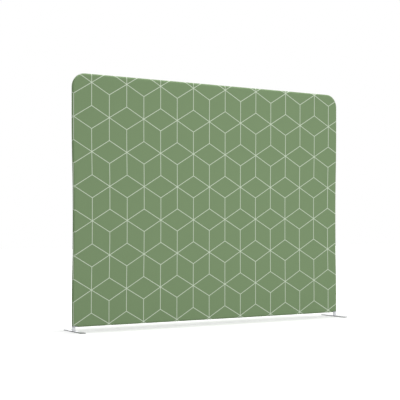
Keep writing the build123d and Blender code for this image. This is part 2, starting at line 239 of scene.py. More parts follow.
def repeat(piece, count, step):
    """Repeats a piece along the wall, in one mesh."""
    add_modifier(piece, "ARRAY", count=count, use_relative_offset=False, use_constant_offset=True,
                 constant_offset_displace=(step, 0, 0))


def mesh_piece(name, points, faces, flat_places=None):
    """An object from points and faces, with the print's map if flat places are given."""
    mesh = bpy.data.meshes.new(name)
    mesh.from_pydata([tuple(p) for p in points], [], faces)
    piece = bpy.data.objects.new(name, mesh)
    bpy.context.scene.collection.objects.link(piece)
    if flat_places:
        layer = mesh.uv_layers.new(name="print")
        for loop in mesh.loops:
            layer.data[loop.index].uv = flat_places[loop.vertex_index]
    mesh.validate()
    return piece


def smooth(piece, degrees):
    """Shades a piece smooth, apart from the edges that turn by more than an angle."""
    pick(piece)
    bpy.ops.object.shade_smooth_by_angle(angle=math.radians(degrees))


def merge_doubles():
    bpy.ops.mesh.remove_doubles(threshold=0.01 * mm)


def face_outwards(piece):
    """Turns every face of a shell to one side, the outer one."""
    open_in_edit(piece)
    merge_doubles()
    bpy.ops.mesh.normals_make_consistent(inside=False)
    close_edit()


def ease(start, end, value):
    """0 before start, 1 after end and smooth between them."""
    share = min(1.0, max(0.0, (value - start) / (end - start)))
    return share * share * (3 - 2 * share)


def spaced(start, end, step):
    """Even places from start to end, about a step apart."""
    count = max(1, round(abs(end - start) / step))
    return [start + (end - start) * k / count for k in range(count + 1)]


# The lines of the cover


def lean(share):
    """The sideways share of a bowed tube: two arcs, one leaning over and one leaning back."""
    return 2 * share**2 if share < 0.5 else 1 - 2 * (1 - share) ** 2


def bow_at(z):
    """How far the upright is pulled in at a height."""
    rising = (z - tee_top_z - sleeve_half) / (middle_z - tee_top_z - 2 * sleeve_half)
    falling = (bend_foot_z - sleeve_half - z) / (bend_foot_z - middle_z - 2 * sleeve_half)
    return bow * lean(min(1.0, max(0.0, min(rising, falling))))


def top_at(x, radius):
    """Height of the frame's line over a place along the wall, and its outward direction."""
    past = abs(x) - (upright_x - radius)
    if past <= 0:
        return top_z, Vector((0, 0, 1))
    rise = math.sqrt(max(0.0, radius**2 - past**2))
    return top_z - radius + rise, Vector((math.copysign(past / radius, x), 0, rise / radius))


def print_place(cover, x, z):
    """The place on the print of a point of the flat cloth, in cube edges from the first column and row."""
    grow = 1 + cover.print_growth * x
    column = (cover.column_at_middle + cover.columns_per_metre * x + cover.print_lean * z) / grow
    row = (cover.row_at_floor - cover.rows_per_metre * z + cover.print_slope * x) / grow
    return column * math.sqrt(3) / 2, row


def seam_relief(cover, distance):
    """How far the cloth stands out near the seam: raised over the allowance, drawn in at the stitches."""
    allowance, slope = 8 * mm, 2.5 * mm
    dip_depth, dip_width = 0.25 * mm, 1.5 * mm
    raised = ease(allowance + slope, allowance, distance) * ease(0.0, slope, distance)
    return cover.seam_lift * raised - dip_depth * (1 - ease(0.0, dip_width, distance))


def tension(cover, x, z):
    """Height of the small folds in the stretched cloth: gathers along the hem, pulls at the corners."""
    gather_width, wander = 47 * mm, 1.7 * math.sin(3.1 * x)
    start, fade = 10 * mm, 50 * mm
    above_hem, from_side = max(0.0, z - rail_z), upright_x - abs(x)
    gathers = 0.5 + 0.5 * math.sin(2 * math.pi * x / gather_width + wander)
    hem = cover.pucker * gathers * math.exp(-above_hem / fade) * (1 - math.exp(-above_hem / start))
    pulls = 0.0
    rays = 15
    for corner_z, reach, strength in ((rail_z, 0.26, 1.0), (top_z, 0.18, 0.6)):
        along = abs(z - corner_z)
        fan = 0.5 + 0.5 * math.sin(rays * math.atan2(along, from_side + mm))
        pulls += strength * cover.corner_pull * fan * math.exp(-math.hypot(from_side, along) / reach)
    edge = ease(0.0, fade, from_side) * ease(0.0, fade, top_z - z) * ease(0.0, 12 * mm, z - rail_z)
    return hem + pulls * edge


def column_places(cover):
    """Where the cloth's mesh has its upright lines: on the turns of the bends, and even between them. The
    line halfway round each bend is moved to the end of the hem."""
    turns = 24
    angles = [math.pi / 2 * k / turns for k in range(turns + 1)]
    bend = [upright_x - cover.bend_radius * (1 - math.cos(angle)) for angle in angles]
    bend[turns // 2] = hem_end_x
    half = spaced(0.0, bend[-1], cover.grid_step)[:-1] + bend[::-1]
    return [-x for x in reversed(half[1:])] + half


class ClothGrid:
    """Collects the points and faces of one cloth panel. The side is -1 in front and 1 behind."""

    def __init__(self, cover, side):
        self.cover, self.side = cover, side
        self.points, self.flat, self.faces = [], [], []

    def add(self, point, flat_x, flat_z):
        self.points.append(point)
        self.flat.append(print_place(self.cover, -self.side * flat_x, flat_z))
        return len(self.points) - 1

    def quad(self, *corners):
        """Adds a face that looks outwards when its corners are given as seen from the front."""
        self.faces.append(corners if self.side < 0 else corners[::-1])

    def face_point(self, x, z, lift):
        """A point of the flat face, pulled in with the bowed uprights. Near the zip it has no folds."""
        smooth_band, fade = 5 * mm, 25 * mm
        drawn_x = x * (1 - bow_at(z) / upright_x)
        flat_until = zip_high_z + smooth_band if self.side > 0 else 0.0
        folds = tension(self.cover, x, z) * ease(flat_until, flat_until + fade, z)
        return self.add(Vector((drawn_x, self.side * (cover_radius + lift + folds), z)), x, z)

    def wrap(self, chain):
        """Carries the cloth from the face's edge round the tube to the seam. The chain holds the edge's
        points and their outward directions, from the left foot over the top to the right foot."""
        quarter = cover_radius * math.pi / 2
        distances_from_seam = [23, 19.5, 16, 13, 10.5, 9, 8, 6, 4, 2.5, 1.2, 0]
        previous = [index for index, _ in chain]
        for distance in [mm * d for d in distances_from_seam]:
            turn = (quarter - distance) / cover_radius
            radius = cover_radius + seam_relief(self.cover, distance)
            ring = []
            for index, outward in chain:
                x, _, z = self.points[index]
                point = Vector((x, 0, z)) + outward * (radius * math.sin(turn))
                point.y = self.side * radius * math.cos(turn)
                flat = Vector((x, 0, z)) + outward * (quarter - distance)
                ring.append(self.add(point, flat.x, flat.z))
            for k in range(len(chain) - 1):
                self.quad(previous[k], previous[k + 1], ring[k + 1], ring[k])
            previous = ring


def cloth_panel(cover, side, levels, first_middle_row, lap_rows=()):
    """One side of the cover: its flat face, with legs down to the openings, and the wrap round the frame.
    Levels are the heights of its lowest rows. Between the legs it starts at the first middle row, and its
    lap rows are raised there. Near the top the rows follow the bends."""
    grid = ClothGrid(cover, side)
    columns = column_places(cover)
    bent_rows, bent_height = 12, 0.2
    level_until = top_z - cover.bend_radius - bent_height
    level_rows = levels + spaced(levels[-1], level_until, cover.grid_step)[1:]
    last_row, last_column = len(level_rows) + bent_rows - 1, len(columns) - 1
    at = {}
    for i, x in enumerate(columns):
        top, _ = top_at(x, cover.bend_radius)
        bent = [level_until + (top - level_until) * k / bent_rows for k in range(1, bent_rows + 1)]
        for j, z in enumerate(level_rows + bent):
            if abs(x) > hem_end_x - mm or j >= first_middle_row:
                over_zip = j in lap_rows and abs(x) < hem_end_x + mm
                at[i, j] = grid.face_point(x, z, lap_lift if over_zip else 0.0)
    for i in range(last_column):
        leg = min(abs(columns[i]), abs(columns[i + 1])) > hem_end_x - mm
        for j in range(0 if leg else first_middle_row, last_row):
            grid.quad(at[i, j], at[i + 1, j], at[i + 1, j + 1], at[i, j + 1])
    left, right = Vector((-1, 0, 0)), Vector((1, 0, 0))
    chain = [(at[0, j], left) for j in range(last_row)]
    chain += [(at[i, last_row], top_at(x, cover.bend_radius)[1]) for i, x in enumerate(columns)]
    chain += [(at[last_column, j], right) for j in range(last_row - 1, -1, -1)]
    grid.wrap(chain)
    return grid, [(at[i, first_middle_row], x) for i, x in enumerate(columns) if abs(x) < hem_end_x + mm]


def add_hem(grid, edge):
    """Turns the front panel's lower edge under the bottom rail and up the back to the zip."""
    flap = zip_low_z + zip_lap - rail_z
    path = [(turn, 0.0, 0.0) for turn in spaced(0, math.pi, math.pi / 14)[1:]]
    path += [(math.pi, 12 * mm, 0.0), (math.pi, 19.5 * mm, 0.0)]
    path += [(math.pi, 20.8 * mm, lap_lift), (math.pi, flap, lap_lift)]
    previous = [index for index, _ in edge]
    for turn, rise, lift in path:
        row = []
        for _, x in edge:
            y = -cover_radius * math.cos(turn) + lift
            z = rail_z - cover_radius * math.sin(turn) + rise
            row.append(grid.add(Vector((x, y, z)), x, rail_z - cover_radius * turn - rise))
        for k in range(len(edge) - 1):
            grid.quad(row[k], row[k + 1], previous[k + 1], previous[k])
        previous = row


def finish_cloth(grid, name, materials):
    """Makes the panel's mesh, gives it the cloth's thickness inwards and its printed and plain sides."""
    piece = mesh_piece(name, grid.points, grid.faces, grid.flat)
    for material in materials:
        piece.data.materials.append(material)
    add_modifier(piece, "SOLIDIFY", thickness=cloth_thickness, offset=-1, material_offset=1,
                 use_even_offset=True)
    smooth(piece, 50)
    return piece


def binding_profile(cover):
    """Section of the folded tape: its distance out of the cloth's outer face and along the cloth's edge."""
    out = cover.tape_thickness
    inside = -cloth_thickness - cover.tape_thickness
    width = cover.binding_width
    return [
        (out * 0.6, width), (out, width - 0.6 * mm), (out, 2.5 * mm), (out, 0.5 * mm),
        (out / 2, -0.2 * mm), (-cloth_thickness / 2, -0.45 * mm), (inside + out / 2, -0.2 * mm),
        (inside, 0.5 * mm), (inside, 2.5 * mm), (inside, width),
    ]


def opening_edges(cover, side):
    """The cut edges of the cloth at an opening, round the upright and round the rail: their points, outward
    directions and the way into the cloth."""
    up, over = Vector((0, 0, 1)), Vector((-side, 0, 0))
    front, back = Vector((0, -1, 0)), Vector((0, 1, 0))
    inner_x, axis_x = side * hem_end_x, side * upright_x
    step, upright_turns, rail_turns = 4 * mm, 36, 24
    edge = [(Vector((x, -cover_radius, opening_z)), front, up) for x in spaced(inner_x, axis_x, step)]
    for k in range(1, upright_turns):
        turn = math.pi * k / upright_turns
        out = Vector((side * math.sin(turn), -math.cos(turn), 0))
        raised = max(0.0, seam_relief(cover, cover_radius * abs(turn - math.pi / 2)))
        edge.append((Vector((axis_x, 0, opening_z)) + out * (cover_radius + raised), out, up))
    edge += [(Vector((x, cover_radius, opening_z)), back, up) for x in spaced(axis_x, inner_x, step)]
    hem = [(Vector((inner_x, cover_radius, rail_z)), back, over)]
    for k in range(1, rail_turns):
        turn = math.pi * k / rail_turns
        out = Vector((0, math.cos(turn), -math.sin(turn)))
        hem.append((Vector((inner_x, 0, rail_z)) + out * cover_radius, out, over))
    hem.append((Vector((inner_x, -cover_radius, rail_z)), front, over))
    return edge, hem


def tape_strip(cover, points, faces, edge):
    """Adds the folded tape along an edge, drawn up a little by its stitches."""
    profile = binding_profile(cover)
    gather_height, stitch_turn = 0.08 * mm, 2.4
    first = len(points)
    for k, (point, out, into) in enumerate(edge):
        gather = gather_height * math.sin(stitch_turn * k)
        for distance, along in profile:
            lift = distance + (gather if distance > 0 else 0.0)
            points.append(point + out * lift + into * along)
    for k in range(len(edge) - 1):
        for m in range(len(profile) - 1):
            a = first + k * len(profile) + m
            faces.append((a, a + 1, a + 1 + len(profile), a + len(profile)))


# Node groups and materials


class Tree:
    """A short way to add nodes to a node tree and link them."""

    def __init__(self, tree):
        self.tree = tree

    def node(self, kind, inputs=None, **settings):
        """Adds a node. Inputs are values or sockets, by name or number."""
        added = self.tree.nodes.new("ShaderNode" + kind)
        for name, value in settings.items():
            setattr(added, name, value)
        for key, value in (inputs or {}).items():
            if isinstance(value, bpy.types.NodeSocket):
                self.tree.links.new(value, added.inputs[key])
            else:
                added.inputs[key].default_value = value
        return added

    def feed(self, inputs, sources):
        """Links sockets to the named inputs of a node that is there already."""
        for name, source in sources.items():
            self.tree.links.new(source, inputs[name])

    def group(self, name, inputs):
        """Places one of the shared node groups."""
        return self.node("Group", inputs, node_tree=bpy.data.node_groups[name]).outputs

    def math(self, operation, *values):
        return self.node("Math", dict(enumerate(values)), operation=operation).outputs[0]

    def mix_colour(self, share, first, second):
        """Mixes two colours, each a socket or three values. Socket numbers 6 and 7 are the colour inputs,
        and 2 the colour output."""
        first, second = [
            given if isinstance(given, bpy.types.NodeSocket) else (*given, 1) for given in (first, second)
        ]
        return self.node("Mix", {0: share, 6: first, 7: second}, data_type="RGBA").outputs[2]

    def ramp(self, value, low, high, to_low=0.0, to_high=1.0):
        """A smooth step from one value to another."""
        inputs = {0: value, 1: low, 2: high, 3: to_low, 4: to_high}
        return self.node("MapRange", inputs, interpolation_type="SMOOTHSTEP").outputs[0]

    def noise(self, vector, scale, detail=2.0, roughness=0.5):
        inputs = {"Vector": vector, "Scale": scale, "Detail": detail, "Roughness": roughness}
        return self.node("TexNoise", inputs).outputs[0]

    def scaled(self, vector, scale):
        return self.node("Mapping", {"Vector": vector, "Scale": scale}).outputs[0]

    def split(self, vector):
        return self.node("SeparateXYZ", {0: vector}).outputs

    def bump(self, height, strength, distance):
        inputs = {"Height": height, "Strength": strength, "Distance": distance}
        return self.node("Bump", inputs).outputs[0]


def start_group(name, inputs, outputs):
    """A new node group with named sockets. Inputs are (name, kind, default); outputs are names of values."""
    tree = bpy.data.node_groups.new(name, "ShaderNodeTree")
    for label, kind, default in inputs:
        socket = tree.interface.new_socket(label, in_out="INPUT", socket_type="NodeSocket" + kind)
        if default is not None:
            socket.default_value = default
    for label in outputs:
        tree.interface.new_socket(label, in_out="OUTPUT", socket_type="NodeSocketFloat")
    enter = tree.nodes.new("NodeGroupInput")
    leave = tree.nodes.new("NodeGroupOutput")
    return Tree(tree), enter.outputs, leave.inputs


def make_cube_lattice():
    """Lines of the tumbling cubes: six spokes from each star point to the corners of its hexagon."""
    half_column, half_row = math.sqrt(3) / 2, 1.5
    tree, given, result = start_group(
        "cube_lattice",
        [("Place", "Vector", None), ("Half Width", "Float", 0.02), ("Softness", "Float", 0.003)],
        ["Lines"],
    )
    place = tree.split(given["Place"])
    stars = []
    for shift_x, shift_y in ((0.0, 0.0), (half_column, half_row)):
        x = tree.math("WRAP", tree.math("SUBTRACT", place[0], shift_x), half_column, -half_column)
        y = tree.math("WRAP", tree.math("SUBTRACT", place[1], shift_y), half_row, -half_row)
        reach = tree.math("ADD", tree.math("MULTIPLY", x, x), tree.math("MULTIPLY", y, y))
        stars.append((tree.math("ABSOLUTE", x), tree.math("ABSOLUTE", y), reach))
    second = tree.math("LESS_THAN", stars[1][2], stars[0][2])
    x, y = [
        tree.math("MULTIPLY_ADD", second, tree.math("SUBTRACT", stars[1][k], stars[0][k]), stars[0][k])
        for k in (0, 1)
    ]
    slanted = tree.math("SUBTRACT", tree.math("MULTIPLY", x, 0.5), tree.math("MULTIPLY", y, half_column))
    nearest = tree.math("MINIMUM", x, tree.math("ABSOLUTE", slanted))
    inner = tree.math("SUBTRACT", given["Half Width"], given["Softness"])
    outer = tree.math("ADD", given["Half Width"], given["Softness"])
    tree.feed(result, {"Lines": tree.ramp(nearest, inner, outer, 1.0, 0.0)})


def make_knit():
    """Fine warp knit: upright wales of small loops, with a slightly uneven yarn."""
    tree, given, result = start_group(
        "knit", [("Place", "Vector", None), ("Wales", "Float", 700.0)], ["Height", "Shade"]
    )
    place = tree.split(given["Place"])
    across = tree.math("MULTIPLY", place[0], given["Wales"])
    up = tree.math("MULTIPLY", place[1], tree.math("MULTIPLY", given["Wales"], 0.7))
    wale = tree.math("ABSOLUTE", tree.math("SINE", tree.math("MULTIPLY", across, math.pi)))
    slant = tree.math("MULTIPLY", tree.math("PINGPONG", across, 0.5), 1.6)
    loop = tree.math("SINE", tree.math("MULTIPLY", tree.math("ADD", up, slant), 2 * math.pi))
    height = tree.math("MULTIPLY", wale, tree.math("MULTIPLY_ADD", loop, 0.3, 0.7))
    tree.feed(result, {"Height": height, "Shade": tree.noise(given["Place"], 260.0, 3.0, 0.65)})


def make_metal_grain():
    """Streaks along the way a metal was drawn or brushed, and cloudy patches over them."""
    tree, given, result = start_group(
        "metal_grain",
        [("Place", "Vector", None), ("Stretch", "Vector", (1, 1, 1)), ("Clouds", "Float", 9.0)],
        ["Streaks", "Clouds"],
    )
    streaks = tree.noise(tree.scaled(given["Place"], given["Stretch"]), 1.0, 4.0, 0.6)
    clouds = tree.noise(given["Place"], given["Clouds"], 3.0, 0.55)
    tree.feed(result, {"Streaks": streaks, "Clouds": clouds})


def make_scuffs():
    """Sparse short scratches and rubbed spots from handling."""
    tree, given, result = start_group(
        "scuffs",
        [("Place", "Vector", None), ("Scale", "Float", 60.0), ("Amount", "Float", 0.4)],
        ["Marks"],
    )
    slanted = {"Vector": given["Place"], "Rotation": (0.4, 0.9, 0.3), "Scale": (1, 9, 1)}
    scratch = tree.noise(tree.node("Mapping", slanted).outputs[0], given["Scale"], 2.0, 0.7)
    patch = tree.noise(given["Place"], tree.math("MULTIPLY", given["Scale"], 0.2), 2.0)
    marks = tree.math("MULTIPLY", tree.ramp(scratch, 0.62, 0.72), tree.ramp(patch, 0.5, 0.65))
    tree.feed(result, {"Marks": tree.math("MULTIPLY", marks, given["Amount"])})


def make_woven_tape():
    """Herringbone weave of a narrow tape."""
    tree, given, result = start_group(
        "woven_tape", [("Place", "Vector", None), ("Threads", "Float", 1400.0)], ["Height", "Shade"]
    )
    place = tree.split(given["Place"])
    along = tree.math("MULTIPLY", place[0], given["Threads"])
    across = tree.math("MULTIPLY", place[2], given["Threads"])
    chevron = tree.math("ADD", along, tree.math("PINGPONG", across, 2.0))
    thread = tree.math("SINE", tree.math("MULTIPLY", chevron, math.pi))
    tree.feed(result, {"Height": thread, "Shade": tree.noise(given["Place"], 900.0, 2.0)})


def start_material(name, roughness, metallic=0.0, **constants):
    """A material with its Principled shader. Constants are set on the shader's own sockets."""
    material = bpy.data.materials.new(name)
    material.use_nodes = True
    tree = Tree(material.node_tree)
    surface = material.node_tree.nodes["Principled BSDF"].inputs
    surface["Roughness"].default_value = roughness
    surface["Metallic"].default_value = metallic
    for key, value in constants.items():
        surface[key.replace("_", " ")].default_value = value
    place = tree.node("TexCoord").outputs["Object"]
    return material, tree, surface, place


def shade_colour(tree, colour, amount, value):
    """A colour made darker and lighter by a value round a half."""
    low = tuple(max(0.0, c * (1 - amount)) for c in colour)
    high = tuple(min(1.0, c * (1 + amount)) for c in colour)
    return tree.mix_colour(value, low, high)


def cloth_material(cover, colours):
    """The printed face of the cover: a green ground with the pale lines of the cubes, on a fine knit whose
    grooves are darkened with painted shade.
    """
    material, tree, surface, _ = start_material(
        "printed_knit", 0.86, Specular_IOR_Level=0.25, Sheen_Weight=0.08, Sheen_Roughness=0.5
    )
    edge = 1 / cover.rows_per_metre
    place = tree.node("UVMap", uv_map="print").outputs[0]
    lattice = {"Place": place, "Half Width": cover.line_width / 2 / edge, "Softness": 0.6 * mm / edge}
    lines = tree.group("cube_lattice", lattice)["Lines"]
    cloth_place = tree.scaled(place, (edge, edge, edge))
    knit = tree.group("knit", {"Place": cloth_place})
    ink = tree.math("MULTIPLY", lines, tree.ramp(knit["Shade"], 0.1, 0.5, 0.86, 1.0))
    # Painted shade: the knit's grooves are darkened in the colour, by up to 12 % towards black.
    painted_groove_shade = tree.ramp(knit["Height"], 0.0, 0.7, 0.12, 0.0)
    patches = tree.ramp(tree.noise(cloth_place, 2.2, 3.0, 0.6), 0.3, 0.7, 0.0, 0.35)
    ground = shade_colour(tree, colours.ground, 0.045, knit["Shade"])
    ground = tree.mix_colour(painted_groove_shade, ground, (0.0, 0.0, 0.0))
    ground = tree.mix_colour(patches, ground, tuple(c * 0.955 for c in colours.ground))
    tree.feed(surface, {
        "Base Color": tree.mix_colour(ink, ground, tuple(colours.line)),
        "Roughness": tree.ramp(knit["Shade"], 0.2, 0.8, 0.8, 0.92),
        "Normal": tree.bump(knit["Height"], 0.7, 0.15 * mm),
    })
    return material


def lining_material(colours):
    """The plain inner face of the cloth, on the same knit."""
    material, tree, surface, _ = start_material("unprinted_knit", 0.9, Specular_IOR_Level=0.2)
    edge = 0.2  # length of a cube edge, near enough where the cubes don't show
    place = tree.scaled(tree.node("UVMap", uv_map="print").outputs[0], (edge, edge, edge))
    knit = tree.group("knit", {"Place": place})
    tree.feed(surface, {
        "Base Color": shade_colour(tree, colours.lining, 0.06, knit["Shade"]),
        "Normal": tree.bump(knit["Height"], 0.4, 0.12 * mm),
    })
    return material


def tape_material(colours):
    """Narrow woven polyester tape, dyed to match the print."""
    material, tree, surface, place = start_material(
        "woven_tape", 0.8, Specular_IOR_Level=0.3, Sheen_Weight=0.1
    )
    weave = tree.group("woven_tape", {"Place": place})
    tree.feed(surface, {
        "Base Color": shade_colour(tree, colours.tape, 0.12, weave["Shade"]),
        "Normal": tree.bump(weave["Height"], 0.5, 0.1 * mm),
    })
    return material


def thread_material(colours):
    """Sewing thread: two plies twisted round each other."""
    material, tree, surface, place = start_material("sewing_thread", 0.55, Specular_IOR_Level=0.4)
    wave = {"Vector": place, "Scale": 900.0, "Distortion": 0.6}
    twist = tree.node("TexWave", wave, bands_direction="DIAGONAL").outputs["Fac"]
    tree.feed(surface, {
        "Base Color": shade_colour(tree, [0.9 * c for c in colours.tape], 0.2, twist),
        "Normal": tree.bump(twist, 0.4, 0.05 * mm),
    })
    return material


def teeth_material(colours):
    """Moulded nylon coil, a little worn where the slider runs."""
    material, tree, surface, place = start_material("zip_coil", 0.38, Specular_IOR_Level=0.5)
    marks = tree.group("scuffs", {"Place": place, "Scale": 400.0, "Amount": 0.8})["Marks"]
    worn = [min(1.0, 1.5 * c) for c in colours.teeth]
    cloud = tree.noise(place, 120.0, 2.0)
    tree.feed(surface, {
        "Base Color": tree.mix_colour(marks, shade_colour(tree, colours.teeth, 0.15, cloud), worn),
        "Roughness": tree.ramp(cloud, 0.3, 0.7, 0.32, 0.48),
    })
    return material


def metal_material(name, colour, roughness, stretch, clouds=9.0, contrast=0.08, marks=0.35, depth=0.02 * mm,
                   grazing=0.2):
    """A metal finish: streaks along its length, cloudy patches, and light scuffs from handling. Grazing is
    how much it mirrors when it is seen along its surface."""
    tint = (grazing, grazing, grazing, 1)
    material, tree, surface, place = start_material(name, roughness, metallic=1.0, Specular_Tint=tint)
    grain = tree.group("metal_grain", {"Place": place, "Stretch": stretch, "Clouds": clouds})
    scuffs = tree.group("scuffs", {"Place": place, "Scale": 90.0, "Amount": marks})["Marks"]
    patches = tree.ramp(grain["Clouds"], 0.35, 0.7, 0.0, 0.5)
    base = shade_colour(tree, colour, contrast, grain["Streaks"])
    base = tree.mix_colour(patches, base, tuple(c * (1 - contrast) for c in colour))
    rough = tree.ramp(grain["Clouds"], 0.3, 0.7, roughness - 0.05, roughness + 0.07)
    tree.feed(surface, {
        "Base Color": tree.mix_colour(scuffs, base, tuple(0.7 * c for c in colour)),
        "Roughness": tree.math("ADD", rough, tree.math("MULTIPLY", scuffs, 0.3)),
        "Normal": tree.bump(tree.math("SUBTRACT", grain["Streaks"], scuffs), 0.3, depth),
    })
    return material


def foot_material(colours):
    """Brushed and nickelled plate. Its upright faces are painted dark: a darker cut edge, deepened with
    painted shade.
    """
    material = metal_material(
        "foot_plate_steel", colours.steel, 0.42, (520, 6, 520), clouds=7.0, contrast=0.07, marks=0.4,
        grazing=0.85,
    )
    tree = Tree(material.node_tree)
    surface = material.node_tree.nodes["Principled BSDF"].inputs
    bright = surface["Base Color"].links[0].from_socket
    place = tree.split(tree.node("TexCoord").outputs["Object"])
    normal = tree.split(tree.node("NewGeometry").outputs["Normal"])
    # Painted shade: the plate's upright faces take the dark edge colour, darker than a cut finish alone.
    upright_shade_mask = tree.ramp(tree.math("ABSOLUTE", normal[2]), 0.5, 0.85, 1.0, 0.0)
    on_plate = tree.math("LESS_THAN", place[2], plate_top_z + 0.1 * mm)
    edges = tree.math("MULTIPLY", upright_shade_mask, on_plate)
    tree.feed(surface, {"Base Color": tree.mix_colour(edges, bright, tuple(colours.cut_edge_and_shade))})
    return material


def enamel_material(colours):
    """Baked enamel on the zip's slider and pull, rubbed through to bare metal in places."""
    material, tree, surface, place = start_material(
        "baked_enamel", 0.35, Coat_Weight=0.2, Coat_Roughness=0.2
    )
    marks = tree.group("scuffs", {"Place": place, "Scale": 300.0, "Amount": 0.9})["Marks"]
    cloud = tree.noise(place, 200.0, 3.0)
    paint = shade_colour(tree, colours.enamel, 0.12, cloud)
    tree.feed(surface, {
        "Base Color": tree.mix_colour(marks, paint, linear(176, 178, 180)),
        "Metallic": tree.math("MULTIPLY", marks, 0.9),
        "Roughness": tree.ramp(cloud, 0.3, 0.7, 0.28, 0.45),
        "Normal": tree.bump(tree.math("SUBTRACT", 1.0, marks), 0.3, 0.05 * mm),
    })
    return material


def repaint(nodes, material):
    """Gives CAD nodes a finish in place of their plain one."""
    for name in nodes:
        for slot in frame["nodes"][name].material_slots:
            slot.material = material


# Operators, one for each group of pieces, the finishes and the studio


class DIVIDER_OT_shaders(bpy.types.Operator):
    """Make the shared node groups: lattice, knit, metal grain, scuffs and weave"""

    bl_idname = "divider.shaders"
    bl_label = "Shared shader groups"

    def execute(self, context):
        make_cube_lattice()
        make_knit()
        make_metal_grain()
        make_scuffs()
        make_woven_tape()
        return {"FINISHED"}


class DIVIDER_OT_cover(bpy.types.Operator):
    """Stretch the printed cover over the frame: a front panel with its hem and a back panel"""

    bl_idname = "divider.cover"
    bl_label = "Printed cover"

    def execute(self, context):
        cover, colours = context.scene.divider_cover, context.scene.divider_colours
        materials = [cloth_material(cover, colours), lining_material(colours)]
        front, lower_edge = cloth_panel(cover, -1, [opening_z, rail_z, rail_z + 8 * mm], 1)
        add_hem(front, lower_edge)
        back_levels = [
            opening_z, opening_z + 20 * mm, zip_high_z - zip_lap, zip_high_z + zip_lap, zip_high_z + 4 * mm,
        ]
        back, _ = cloth_panel(cover, 1, back_levels, 2, lap_rows=(2, 3))
        for grid, name, node in ((front, "cover_front", "front_panel"), (back, "cover_back", "back_panel")):
            piece = finish_cloth(grid, name, materials)
            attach(piece, "frame")
            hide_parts(node)
        return {"FINISHED"}


class DIVIDER_OT_bindings(bpy.types.Operator):
    """Fold the binding tape over the cloth's edges at each opening"""

    bl_idname = "divider.bindings"
    bl_label = "Opening bindings"

    def execute(self, context):
        cover = context.scene.divider_cover
        material = tape_material(context.scene.divider_colours)
        for side, name in ((-1, "left"), (1, "right")):
            points, faces = [], []
            for edge in opening_edges(cover, side):
                tape_strip(cover, points, faces, edge)
            piece = mesh_piece(f"{name}_binding", points, faces)
            face_outwards(piece)
            add_modifier(piece, "SOLIDIFY", thickness=cover.tape_thickness, offset=0)
            smooth(piece, 60)
            piece.data.materials.append(material)
            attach(piece, "frame")
            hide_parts(f"{name}_opening_binding")
        return {"FINISHED"}


class DIVIDER_OT_zip_tapes(bpy.types.Operator):
    """Lay the two woven tapes of the zip between the panels"""

    bl_idname = "divider.zip_tapes"
    bl_label = "Zip tapes"

    def execute(self, context):
        material = bpy.data.materials["woven_tape"]
        for name, node in (("zip_tape_lower", "lower_zip_tape"), ("zip_tape_upper", "upper_zip_tape")):
            low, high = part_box(node)
            upper = node.startswith("upper")
            if upper:
                high.z += tucked_tape
            else:
                low.z -= tucked_tape
            deselect_all()
            bpy.ops.mesh.primitive_cube_add(size=1, location=(low + high) / 2)
            piece = new_primitive(name)
            piece.scale = high - low
            apply_place(piece)
            self.raise_cord(piece, low, high, upper)
            piece.data.materials.append(material)
            smooth(piece, 35)
            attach(piece, "frame")
            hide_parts(node)
        return {"FINISHED"}

    def raise_cord(self, piece, low, high, upper):
        """Cuts the tape into strips, raises the corded one that holds the teeth, and thins its edge."""
        into_tape = 1 if upper else -1
        inner_z = low.z if upper else high.z
        open_in_edit(piece)
        for distance in (0.6, 1.4, 2.4, 3.0, 6.0):
            cut((0, 0, inner_z + into_tape * distance * mm), (0, 0, 1))
        close_edit()
        for vertex in piece.data.vertices:
            from_edge = abs(vertex.co.z - inner_z)
            outer = vertex.co.y > (low.y + high.y) / 2
            if outer and 0.5 * mm < from_edge < 2.5 * mm:
                vertex.co.y += 0.18 * mm
            elif outer and from_edge < 0.5 * mm:
                vertex.co.y -= 0.1 * mm


class DIVIDER_OT_zip_teeth(bpy.types.Operator):
    """Sew a row of coil teeth on each zip tape"""

    bl_idname = "divider.zip_teeth"
    bl_label = "Zip teeth"

    def execute(self, context):
        material = teeth_material(context.scene.divider_colours)
        pitch, tooth_width = 2 * mm, 1.3 * mm
        rows = ((-1, "zip_teeth_lower", "lower_zip_chain"), (1, "zip_teeth_upper", "upper_zip_chain"))
        for side, name, node in rows:
            low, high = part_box(node)
            deselect_all()
            bpy.ops.mesh.primitive_cylinder_add(vertices=8, radius=0.5, depth=1, location=(0, 0, 0))
            tooth = new_primitive(name)
            tooth.scale = (tooth_width, high.y - low.y, high.z - low.z)
            apply_place(tooth)
            self.shape_head(tooth, side)
            add_modifier(tooth, "BEVEL", width=0.15 * (high.z - low.z), segments=1, limit_method="ANGLE")
            start_x = low.x + pitch / 2 + (pitch / 2 if side > 0 else 0)
            tooth.location = (start_x, (low.y + high.y) / 2, (low.z + high.z) / 2)
            apply_place(tooth)
            repeat(tooth, int((high.x - low.x - pitch) / pitch), pitch)
            tooth.data.materials.append(material)
            smooth(tooth, 50)
            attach(tooth, "frame")
            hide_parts(node)
        return {"FINISHED"}

    def shape_head(self, tooth, side):
        """Swells and lengthens the end that faces the other row, and thins the sewn end."""
        for vertex in tooth.data.vertices:
            if vertex.co.z * side < 0:
                vertex.co.x *= 1.25
                vertex.co.z -= side * 0.2 * mm
            else:
                vertex.co.x *= 0.8
                vertex.co.y *= 0.8


